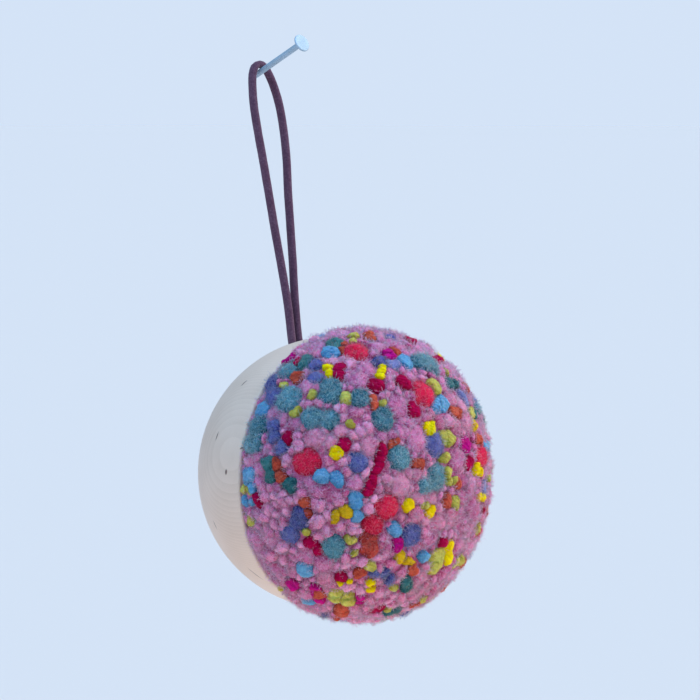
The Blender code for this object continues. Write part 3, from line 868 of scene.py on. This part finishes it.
def overlap_share(seat, other):
    """How far two neighbours run into each other, as a share of the smaller one's radius."""
    if seat.yarn in GROUND and other.yarn in GROUND:
        return GROUND_OVERLAP
    if seat.cluster == other.cluster or seat.yarn == other.yarn in MATTED:
        return MAT_OVERLAP
    return THIN_OVERLAP if seat.kind == other.kind == "thin" else PRESS_OVERLAP


def shaped_end(seat):
    """The points of one yarn end, squeezed between its neighbours."""
    kind, radius, listed = seat.kind, seat.radius, seat.cluster[0] == "tuft"
    shape_points = END_SHAPES[kind][0]
    point = np.array(seat.point)
    fan = (seat.point - dome_centre).normalized()
    axis = (seat.normal * (1 - FAN_SHARE) + fan * FAN_SHARE).normalized()
    axis = (axis + Vector(chance.gauss(0, LEAN[kind]) for _ in range(3))).normalized()
    side = random_side(axis)
    across = np.array([side, axis.cross(side), axis])
    offsets = seat_spots[:, :3] - point
    distance = lengths(offsets)
    near = np.flatnonzero((distance < (radius + seat_spots[:, 3]) * NEIGHBOUR_REACH) & (distance > 1e-6))
    near = near[lengths(offsets[near] @ across[:2].T) > NEIGHBOUR_LEAST * radius]
    flat = offsets[near] @ across[:2].T
    spread, theirs = lengths(flat), seat_spots[near, 3]
    overlap = np.array([overlap_share(seat, seats[j]) for j in near])
    tuft_there = np.array([seats[j].cluster[0] == "tuft" for j in near])
    halfway = (spread ** 2 + radius ** 2 - theirs ** 2) / (2 * spread)
    if listed:
        halfway = np.where(tuft_there, halfway, np.maximum(halfway, TUFT_KEEPS * radius))
    else:
        halfway = np.where(tuft_there, np.minimum(halfway, spread - TUFT_KEEPS * theirs), halfway)
    halfway = np.maximum(halfway + overlap * np.minimum(theirs, radius), LEAST_HALF * radius)
    turn = np.arctan2(shape_points[:, 1], shape_points[:, 0])
    facing = np.cos(turn[:, None] - np.arctan2(flat[:, 1], flat[:, 0])[None, :])
    reach = np.where(facing > LEAST_FACING, halfway[None, :] / np.maximum(facing, LEAST_FACING), 1.0)
    oval, corner = UNEVEN[kind]
    first, second = chance.uniform(0, 2 * pi), chance.uniform(0, 2 * pi)
    uneven = 1 + oval * np.cos(2 * (turn - first)) + corner * np.cos(3 * (turn - second))
    widest = (TUFT_SPREAD if listed else SPREAD[kind]) * radius * uneven
    limit = (widest ** -SOFTNESS + (reach ** -SOFTNESS).sum(axis=1)) ** (-1 / SOFTNESS)
    height = (shape_points[:, 2] - shape_points[:, 2].max()) * radius + seat.rise
    made = point + (shape_points[:, :2] * limit[:, None]) @ across[:2] + height[:, None] * across[2]
    size = min(1.0, radius / FULL_LUMPS_RADIUS)
    fray = FRAY_PLIED if seat.yarn in PLIED else FRAY_SOFT * size
    for row, place in enumerate(map(Vector, made)):
        place += noise.noise_vector(place / COARSE_LUMP) * LUMP_HEIGHT * size
        place += noise.noise_vector(place / FINE_LUMP) * fray
        out = hypot(place.x - RIM.x, place.z - RIM.z)
        lowest = RIM_CLEARANCE if out < CUP_RADIUS + RIM_MARGIN else -PAST_RIM
        place.y = min(place.y, RIM.y - lowest)
        made[row] = place
    return made


def joined_mesh(name, points, faces, shade, rod=None):
    """One mesh of many closed shells, with each shell's shade and place within its rod as attributes."""
    mesh = bpy.data.meshes.new(name)
    mesh.from_pydata([tuple(point) for point in points], [], faces)
    attribute = mesh.attributes.new("shade", "FLOAT", "POINT")
    attribute.data.foreach_set("value", np.asarray(shade, dtype=np.float32))
    if rod is not None:
        attribute = mesh.attributes.new("rod", "FLOAT_VECTOR", "POINT")
        attribute.data.foreach_set("vector", np.asarray(rod, dtype=np.float32).ravel())
    return new_object(name, mesh)


wools = {yarn: {"points": [], "faces": [], "shade": [], "rod": [], "count": 0}
         for yarn in sorted({seat.yarn for seat in seats})}
for index, seat in enumerate(seats):
    made = shaped_end(seat)
    unit_points, unit_faces = END_SHAPES[seat.kind]
    wool = wools[seat.yarn]
    wool["faces"] += [tuple(v + wool["count"] for v in face) for face in unit_faces]
    wool["points"].append(made)
    wool["shade"].append(np.full(len(made), chance.uniform(-1, 1)))
    wool["rod"].append(np.column_stack([unit_points[:, :2], np.full(len(made), index)]))
    wool["count"] += len(made)
for yarn, wool in wools.items():
    print(yarn, "ends:", len(wool["points"]))
    for key in ("points", "shade", "rod"):
        wool[key] = np.concatenate(wool[key])
    wool["piece"] = joined_mesh(f"ends_{yarn}", wool["points"], wool["faces"], wool["shade"], wool["rod"])

# %% [markdown]
# ## The core
# Under the ends the roving mats into one soft mass, which shows between the thin ends and goes down into
# the cup. Its outline follows the dome at a small depth and then the cup's hollow.

# %% Core
CORE_DEPTH, CORE_STEPS, CORE_SEGMENTS = 1.25 * MM, 56, 150
SEAT_GAP = 0.3 * MM
FREE_FROM, LUMPY_FROM = 0.4 * MM, 3 * MM  # in front of the rim
core_radius = CAVITY_RADIUS - SEAT_GAP
core_profile = [(0.0, -(YARN_WIDEST + YARN_DOME - CORE_DEPTH))]
for step in range(CORE_STEPS, -1, -1):
    angle = YARN_OVERHANG + (pi / 2 - CORE_OPEN - YARN_OVERHANG) * step / CORE_STEPS
    radius, front = yarn_profile(angle, CORE_DEPTH)
    core_profile.append((radius, -front))
core_profile.append((core_radius, -YARN_OVER_RIM))
core_profile += arc((0, 0), core_radius, 0, asin((CAVITY_DEPTH - SEAT_GAP) / core_radius), steps=10)
core_profile.append((0.0, CAVITY_DEPTH - SEAT_GAP))
core = turn_profile("yarn_core", core_profile, CORE_SEGMENTS, cup_frame)
for vertex in core.data.vertices:
    if vertex.co.y < RIM.y - FREE_FROM:
        across, up = vertex.co.x - RIM.x, vertex.co.z - RIM.z
        steepness = acos(min(1.0, hypot(across, up) / YARN_RADIUS))
        shrink = press_at(atan2(up, across), steepness) / max(1 * MM, hypot(across, up))
        vertex.co -= Vector((across, 0, up)) * shrink
    if vertex.co.y < RIM.y - LUMPY_FROM:
        vertex.co += noise.noise_vector(vertex.co / COARSE_LUMP) * LUMP_HEIGHT
core_points = np.array([vertex.co[:] for vertex in core.data.vertices])
wools["core"] = {"points": core_points, "shade": np.zeros(len(core_points)), "piece": core}
print("core:", len(core_points), "points")

# %% [markdown]
# ## Fuzz
# Wool fibres stand out from every end and blur its outline, most of all from thick roving. Each fibre is a
# thin spindle, bent in the middle: a point under the surface, three corners at the knee and a point at the
# tip. They are arrays joined by colour, rather than hair, so that they are real geometry everywhere.

# %% Grow the fuzz
FUZZ = {  # yarn: fibres on a square mm, shortest and longest in mm
    "mauve": (5.4, 1.1, 3.0), "rose": (5.8, 1.1, 2.8), "teal": (7.5, 1.1, 2.8), "coral": (6.0, 1.0, 2.4),
    "violet": (6.5, 1.1, 2.8), "periwinkle": (5.0, 1.0, 2.4), "russet": (5.0, 0.9, 2.2),
    "pink": (5.0, 1.0, 2.6), "emerald": (4.0, 0.9, 2.2), "core": (1.1, 1.5, 3.4)}
USUAL_FUZZ = (2.6, 0.5, 1.3)
FIBRE_RADIUS = 0.050 * MM
FIBRE_ROOT = 0.25 * MM  # the root is this far under the surface
FIBRE_KNEE, FIBRE_TIP = 0.55, 0.45  # shares of the length, before and after the knee
ALONG_NORMAL, ALONG_FAN, SCATTER = 0.45, 0.22, 0.60  # what turns a fibre's first part
KEEPS_ON, DROOP = 0.6, 0.85  # its second part goes on like the first and hangs back to the wool
FIBRE_PALER_HIGHLIGHT = (0.3, 1.6)  # than the end that it grows from, in the shade's units: partly the hairs' own lighter colour, partly painted highlight
FIBRE_CLEARANCE = 0.1 * MM
FIBRE_FACES = ((0, 2, 1), (0, 3, 2), (0, 1, 3), (4, 1, 2), (4, 2, 3), (4, 3, 1))
MOST_FIBRES = 32000  # in one piece
LEAST_OPEN = 0.2  # faces that are turned further from the way outward grow none


def fibre_places(wool, density, triangles):
    """Random places on the open faces of a yarn's ends, with the face's normal and the way outward."""
    a, b, c = (wool["points"][triangles[:, k]] for k in range(3))
    cross = edge_cross(a, b, c)
    doubled = np.maximum(lengths(cross), 1e-15)
    outward = (a + b + c) / 3 - np.array(dome_centre)
    outward /= lengths(outward)[:, None]
    normal = cross / doubled[:, None]
    in_front = (a[:, 1] + b[:, 1] + c[:, 1]) / 3 < RIM.y - FREE_FROM
    weight = doubled * ((normal * outward).sum(axis=1) > LEAST_OPEN) * in_front
    count = int(weight.sum() / 2 / MM ** 2 * density)
    chosen = draw.choice(len(weight), size=count, p=weight / weight.sum())
    u, v = draw.random((2, count, 1))
    fold = (u + v) > 1
    u, v = np.where(fold, 1 - u, u), np.where(fold, 1 - v, v)
    root = a[chosen] + (b[chosen] - a[chosen]) * u + (c[chosen] - a[chosen]) * v
    return root, normal[chosen], outward[chosen], triangles[chosen, 0]


def unit(rows):
    return rows / np.maximum(lengths(rows), 1e-12)[:, None]


def grow_fuzz(yarn, wool):
    """Bent spindles on the outer faces of a yarn's ends."""
    density, shortest, longest = FUZZ.get(yarn, USUAL_FUZZ)
    triangles = np.array([(face[0], face[k], face[k + 1]) for face in sorted_faces(wool["piece"].data)
                          for k in range(1, len(face) - 1)])
    root, normal, outward, vertex = fibre_places(wool, density, triangles)
    count = len(root)
    start = unit(normal * ALONG_NORMAL + outward * ALONG_FAN + draw.normal(0, SCATTER, (count, 3)))
    bend = unit(start * KEEPS_ON + draw.normal(0, SCATTER, (count, 3)) - outward * DROOP)
    length = draw.uniform(shortest, longest, (count, 1)) * MM
    root = root - normal * FIBRE_ROOT
    knee = root + start * length * FIBRE_KNEE
    side = unit(np.cross(start, bend + 1e-3))
    other = np.cross(start, side)
    rows = np.empty((count, 5, 3))
    rows[:, 0] = root
    for corner in range(3):
        turn = 2 * pi * corner / 3
        rows[:, corner + 1] = knee + (side * cos(turn) + other * sin(turn)) * FIBRE_RADIUS
    rows[:, 4] = knee + bend * length * FIBRE_TIP
    rows[:, :, 1] = np.minimum(rows[:, :, 1], RIM.y - FIBRE_CLEARANCE)
    shade = np.repeat(wool["shade"][vertex] + draw.uniform(*FIBRE_PALER_HIGHLIGHT, count), 5)
    pieces = []
    for first in range(0, count, MOST_FIBRES):
        some = rows[first:first + MOST_FIBRES]
        base = np.arange(len(some))[:, None] * 5
        faces = [tuple(face) for corners in FIBRE_FACES for face in (base + np.array(corners)).tolist()]
        name = f"fuzz_{yarn}" if first == 0 else f"fuzz_{yarn}_{first // MOST_FIBRES + 1}"
        own_shade = shade[first * 5:(first + len(some)) * 5]
        pieces.append(joined_mesh(name, some.reshape(-1, 3), faces, own_shade))
    print("fibres on", yarn + ":", count)
    return pieces


for yarn, wool in wools.items():
    wool["fuzz"] = grow_fuzz(yarn, wool)

# %% [markdown]
# ## Wool in every colour
# Wool is matt and lets a little light in. Noise mixes each yarn's darker and paler colour, with painted
# shade towards each end's edge, where the crevices are, and painted light in its middle. Its loose hairs are
# painted paler still, partly their own lighter colour and partly painted highlight. Fibres fan out from the
# middle of each end, and plied yarn shows the strands that it is twisted from, with painted shade in the
# grooves between them.

# %% Make the wool
EDGE_PAINTED_SHADE = 0.16  # an end is painted paler in its middle and darker towards its edge: painted light, and painted shade where the crevices between ends are
STREAKS_AROUND, STREAK_SIZE = 6.0, 1.25  # fibres fan out from the middle of each end
PLY_PITCH = 0.85 * MM  # of the strands that plied yarn is twisted from
# painted shade in the grooves between plied strands and painted light on their ridges, by the bands that
# raise the bump
PLY_GROOVE_SHADE = 0.16
GLOW_POWER = 0.38  # the sheen is a paler tint of the yarn's own colour
WOOL = {  # yarn: darker colour, mixed in by noise and by painted shade towards each end's edge; paler colour, on top and in each end's painted-light middle; colour of the loose hairs, partly their own and partly painted highlight
    "core": ((0.44, 0.048, 0.164), (0.7, 0.19, 0.39), (0.76, 0.42, 0.65)),
    "mauve": ((0.39, 0.045, 0.154), (0.755, 0.27, 0.5), (0.87, 0.61, 0.84)),
    "rose": ((0.42, 0.068, 0.174), (0.8, 0.31, 0.48), (0.86, 0.56, 0.74)),
    "russet": ((0.26, 0.018, 0.02), (0.54, 0.066, 0.05), (0.6, 0.12, 0.11)),
    "periwinkle": ((0.1, 0.11, 0.3), (0.26, 0.27, 0.52), (0.42, 0.44, 0.68)),
    "pink": ((0.49, 0.068, 0.196), (0.905, 0.385, 0.605), (0.88, 0.61, 0.82)),
    "magenta": ((0.3, 0.001, 0.11), (0.6, 0.006, 0.24), (0.62, 0.03, 0.28)),
    "crimson": ((0.24, 0.0002, 0.025), (0.42, 0.001, 0.06), (0.44, 0.01, 0.08)),
    "emerald": ((0.01, 0.06, 0.075), (0.05, 0.19, 0.2), (0.12, 0.3, 0.32)),
    "teal": ((0.014, 0.084, 0.128), (0.115, 0.3, 0.385), (0.38, 0.65, 0.72)),
    "violet": ((0.032, 0.036, 0.17), (0.14, 0.155, 0.42), (0.28, 0.31, 0.6)),
    "orange": ((0.26, 0.026, 0.022), (0.58, 0.1, 0.055), (0.6, 0.16, 0.1)),
    "lime": ((0.28, 0.25, 0.03), (0.6, 0.56, 0.12), (0.62, 0.58, 0.2)),
    "yellow": ((0.68, 0.43, 0.001), (0.88, 0.72, 0.002), (0.88, 0.74, 0.02)),
    "mustard": ((0.42, 0.24, 0.006), (0.7, 0.45, 0.012), (0.7, 0.48, 0.03)),
    "sky": ((0.05, 0.2, 0.4), (0.17, 0.4, 0.62), (0.26, 0.5, 0.7)),
    "coral": ((0.44, 0.001, 0.026), (0.8, 0.016, 0.08), (0.92, 0.13, 0.24)),
}


def wool_look(name, deep, light, plied=False):
    """Matt wool: blotches of roving, fine fibres, each end's own shade and painted shade towards its edge
    mix a deep and a light colour.
    """
    glow = tuple(value ** GLOW_POWER for value in light)
    look, tree, shader = new_look(f"wool_{name}", Roughness=0.95, Sheen_Weight=0.18 if plied else 0.45,
                                  Sheen_Roughness=0.4, Sheen_Tint=(*glow, 1.0), Specular_IOR_Level=0.05,
                                  Subsurface_Weight=0.42, Subsurface_Scale=1.6 * MM)
    place = object_place(tree)
    blotch = grain(tree, place, 2.2 * MM)
    fibre = grain(tree, place, 0.36 * MM, detail=1, distortion=0.8)
    rod = add_node(tree, "Attribute", attribute_name="rod").outputs["Vector"]
    shade = add_node(tree, "Attribute", attribute_name="shade").outputs["Fac"]
    x, y, number = add_node(tree, "SeparateXYZ", [(0, rod)]).outputs
    around = figure(tree, "MULTIPLY", figure(tree, "ARCTAN2", y, x), STREAKS_AROUND)
    out_squared = weighted(tree, figure(tree, "MULTIPLY", y, y), (x, x))
    polar = add_node(tree, "CombineXYZ", [(0, around), (1, out_squared), (2, number)]).outputs[0]
    streak = grain(tree, polar, STREAK_SIZE)
    # painted light in each end's middle and painted shade towards its edge come from out_squared
    amount = weighted(tree, -0.72, (streak, 0.9), (fibre, 1.1), (blotch, 0.6), (out_squared, -EDGE_PAINTED_SHADE),
                      (shade, 0.14))
    ply = None
    if plied:
        bands = waves(tree, place, PLY_PITCH, distortion=7.0, detail_scale=0.6,
                      bands_direction="DIAGONAL")
        # the ply bands darken the grooves that the bump sinks and lighten its ridges: painted shade and
        # painted light
        amount = weighted(tree, figure(tree, "SUBTRACT", amount, PLY_GROOVE_SHADE / 2), (bands, PLY_GROOVE_SHADE))
        ply = raise_bump(tree, shader, bands, strength=0.5, distance=0.30 * MM)
    tree.links.new(ramp(tree, amount, (0.22, deep), (0.80, light)), shader.inputs["Base Color"])
    raise_bump(tree, shader, fibre, strength=0.6, distance=0.15 * MM, below=ply)
    return look


for yarn, wool in wools.items():
    deep, light, loose = WOOL[yarn]
    ends_look = wool_look(yarn, deep, light, yarn in PLIED)
    # the hairs' ramp runs from the yarn's top colour to a paler one: partly their own colour, partly painted
    # highlight
    hair_look = wool_look(yarn + "_hair", light, loose)
    for piece, look in [(wool["piece"], ends_look)] + [(piece, hair_look) for piece in wool["fuzz"]]:
        finish_piece(piece, look, "pom_pom", smooth_angle=180)
